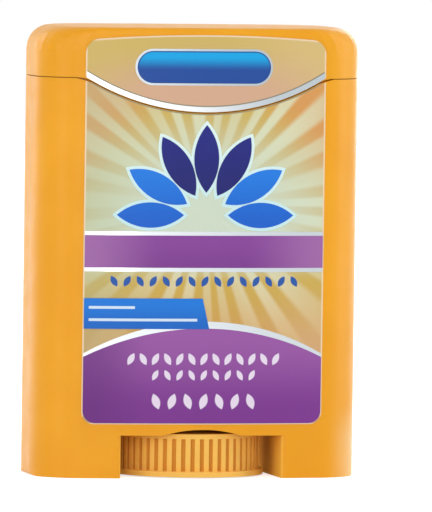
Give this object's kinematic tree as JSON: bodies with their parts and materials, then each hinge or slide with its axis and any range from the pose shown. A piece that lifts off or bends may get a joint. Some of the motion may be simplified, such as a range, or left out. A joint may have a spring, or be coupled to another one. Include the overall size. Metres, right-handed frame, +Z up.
{
  "type": "deodorant stick",
  "caption": "Oval twist-up deodorant stick on two hollow feet: ribbed dial, lift screw, rising platform and bar, seal cover and flush cap.",
  "frame": {"origin": "on the ground under the middle of the stick, on the dial's axis", "axes": "+Z up along the dial's axis; -Y towards the front label; +X to the right seen from the front"},
  "size_m": [0.0618, 0.0286, 0.084],
  "materials": {
    "case_orange": "moulded polypropylene, satin, through-coloured orange",
    "natural_pp": "moulded natural polypropylene",
    "bar_cream": "poured solid, waxy, off-white",
    "seal_clear": "thin translucent polypropylene",
    "label_gold": "printed film, gold with pale rays, gloss varnish",
    "label_tan": "printed film, tan, gloss varnish",
    "foil_silver": "hot-stamped silver foil",
    "ink_blue": "printed blue under gloss varnish",
    "ink_navy": "printed navy under gloss varnish",
    "ink_pale": "printed pale aqua under gloss varnish",
    "ink_purple": "printed purple under gloss varnish",
    "ink_plum": "printed deep purple under gloss varnish"
  },
  "bodies": {
    "case": {"barrel": "case_orange", "front_label": "label_gold", "back_label": "label_tan", "petal_outline": "ink_pale", "petals_navy": "ink_navy", "petals_blue": "ink_blue", "band_foil": "foil_silver", "band_field": "ink_purple", "dome_foil": "foil_silver", "dome_field": "ink_plum", "flag_field": "ink_blue", "back_band": "ink_purple"},
    "dial_and_screw": {"dial": "case_orange", "lift_screw": "natural_pp"},
    "platform_and_bar": {"platform": "natural_pp", "deodorant_bar": "bar_cream"},
    "seal": {"seal_cover": "seal_clear"},
    "lid": {"cap": "case_orange", "cap_label": "label_tan", "sweep_foil": "foil_silver", "badge_foil": "foil_silver", "badge_field": "ink_blue"}
  },
  "joints": [
    {"name": "dial_turn", "type": "hinge", "parent": "case", "child": "dial_and_screw", "pos_m": [0, 0, 0], "axis": [0, 0, 1], "range_deg": [0, 3600]},
    {"name": "platform_rise", "type": "slide", "parent": "case", "child": "platform_and_bar", "axis": [0, 0, 1], "range_m": [0, 0.05]},
    {"name": "seal_lift", "type": "slide", "parent": "platform_and_bar", "child": "seal", "axis": [0, 0, 1], "range_m": [0, 0.02]},
    {"name": "cap_lift", "type": "slide", "parent": "seal", "child": "lid", "axis": [0, 0, 1], "range_m": [0, 0.03]}
  ],
  "couplings": [
    {"joint": "dial_turn", "follows": "platform_rise", "rad_per_m": 1256.6}
  ]
}
